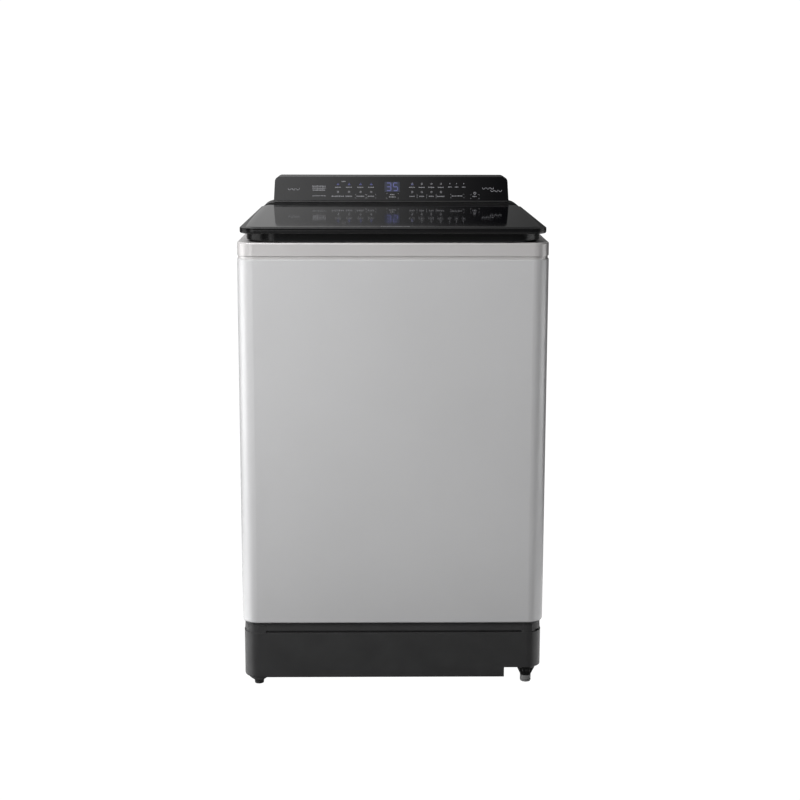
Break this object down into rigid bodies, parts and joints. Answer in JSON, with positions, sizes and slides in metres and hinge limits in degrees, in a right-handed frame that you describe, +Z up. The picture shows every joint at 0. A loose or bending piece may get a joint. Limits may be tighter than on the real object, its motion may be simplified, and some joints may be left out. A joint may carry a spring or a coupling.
{
  "type": "top load washing machine",
  "caption": "Top load washing machine: grey steel cabinet on a dark skirt, black glass lid, upright touch console, sprung tub with spinning basket and pulsator.",
  "frame": {"origin": "floor level, in the middle of the machine's width and depth", "axes": "+Z up, front faces -Y, +X to the right seen from the front"},
  "size_m": [0.643, 0.72, 1.051],
  "materials": {
    "cabinet_paint": "satin metallic grey paint",
    "cover_silver": "satin silver paint on plastic",
    "black_gloss": "glossy black",
    "black_satin": "satin black",
    "lid_glass": "black-backed tempered glass",
    "console_glass": "black touch panel",
    "display": "tinted display window",
    "skirt_grey": "fine-grained dark grey",
    "rubber": "matt",
    "galvanised": "galvanised sheet",
    "steel": "bright zinc plate",
    "stainless": "brushed stainless",
    "cast_alloy": "as cast",
    "liner_grey": "satin dark grey",
    "white_plastic": "natural polypropylene",
    "grey_plastic": "satin grey",
    "foot_grey": "satin grey",
    "board": "lacquered circuit board"
  },
  "bodies": {
    "cabinet": {"base_frame": "skirt_grey", "fixed_feet": "rubber", "foot_lock_nut": "black_satin", "cabinet_shell": "cabinet_paint", "rear_panel": "galvanised", "cabinet_screws": "steel", "service_cover": "grey_plastic", "suspension_hangers": "galvanised", "suspension_rods": "steel", "suspension_end_caps": "white_plastic", "top_cover": "cover_silver", "deck_liner": "liner_grey", "dispenser_housing": "white_plastic", "lid_lock": "black_satin", "hinge_brackets": "galvanised", "lid_damper": "black_satin", "rear_deck": "black_satin", "console_housing": "black_gloss", "console_fascia": "console_glass", "console_back_cover": "black_satin", "touch_board": "board", "display_module": "display", "control_board": "board", "inlet_valve": "white_plastic", "cable_gland": "black_satin", "driver_box": "grey_plastic", "drain_spigot": "grey_plastic", "drain_hose": "grey_plastic"},
    "levelling_foot": {"levelling_foot": "foot_grey"},
    "drawer": {"detergent_drawer": "grey_plastic"},
    "lid": {"lid_frame": "black_gloss", "lid_glass": "lid_glass", "lid_hinge_pins": "steel", "lid_buffers": "rubber"},
    "lock_bolt": {"lid_lock_bolt": "white_plastic"},
    "tub": {"outer_tub": "white_plastic", "tub_cover": "white_plastic", "mount_plate": "galvanised", "mount_plate_bolts": "steel", "bearing_housing": "cast_alloy", "bearings": "steel", "shaft_seal": "rubber", "motor_housing": "cast_alloy", "drive_belt": "rubber", "drain_valve": "grey_plastic", "drain_actuator": "white_plastic", "damper_cups": "grey_plastic", "suspension_springs": "steel"},
    "basket": {"basket_shell": "stainless", "balance_ring": "grey_plastic", "basket_base": "grey_plastic", "basket_hub": "cast_alloy"},
    "lint_filter": {"lint_filter": "white_plastic"},
    "pulsator": {"pulsator": "grey_plastic", "pulsator_screw": "stainless", "wash_shaft": "stainless", "drive_pulley": "cast_alloy", "pulley_nut": "steel"},
    "motor_rotor": {"motor_shaft": "steel", "motor_pulley": "cast_alloy"}
  },
  "joints": [
    {"name": "lid_hinge", "type": "hinge", "parent": "cabinet", "child": "lid", "pos_m": [0, 0.231, 0.9725], "axis": [-1, 0, 0], "range_deg": [0, 95]},
    {"name": "drawer_slide", "type": "slide", "parent": "cabinet", "child": "drawer", "axis": [0, -1, 0], "range_m": [0, 0.085]},
    {"name": "lock_bolt_slide", "type": "slide", "parent": "cabinet", "child": "lock_bolt", "axis": [1, 0, 0], "range_m": [0, 0.009]},
    {"name": "levelling_foot_turn", "type": "hinge", "parent": "cabinet", "child": "levelling_foot", "pos_m": [0.287, -0.321, 0.02], "axis": [0, 0, 1], "continuous": true},
    {"name": "tub_suspension", "type": "slide", "parent": "cabinet", "child": "tub", "axis": [0, 0, 1], "range_m": [-0.012, 0.008], "stiffness_N_per_m": 12000, "springref_m": 0.03, "deforming": ["suspension_springs", "drain_hose"]},
    {"name": "basket_spin", "type": "hinge", "parent": "tub", "child": "basket", "pos_m": [0, -0.008, 0.3], "axis": [0, 0, 1], "continuous": true},
    {"name": "pulsator_spin", "type": "hinge", "parent": "tub", "child": "pulsator", "pos_m": [0, -0.008, 0.3], "axis": [0, 0, 1], "continuous": true},
    {"name": "motor_spin", "type": "hinge", "parent": "tub", "child": "motor_rotor", "pos_m": [0, 0.164, 0.15], "axis": [0, 0, 1], "continuous": true},
    {"name": "lint_filter_release", "type": "slide", "parent": "basket", "child": "lint_filter", "axis": [0, -1, 0], "range_m": [0, 0.03]}
  ],
  "couplings": [
    {"joint": "motor_spin", "follows": "pulsator_spin", "ratio": 3.6}
  ]
}
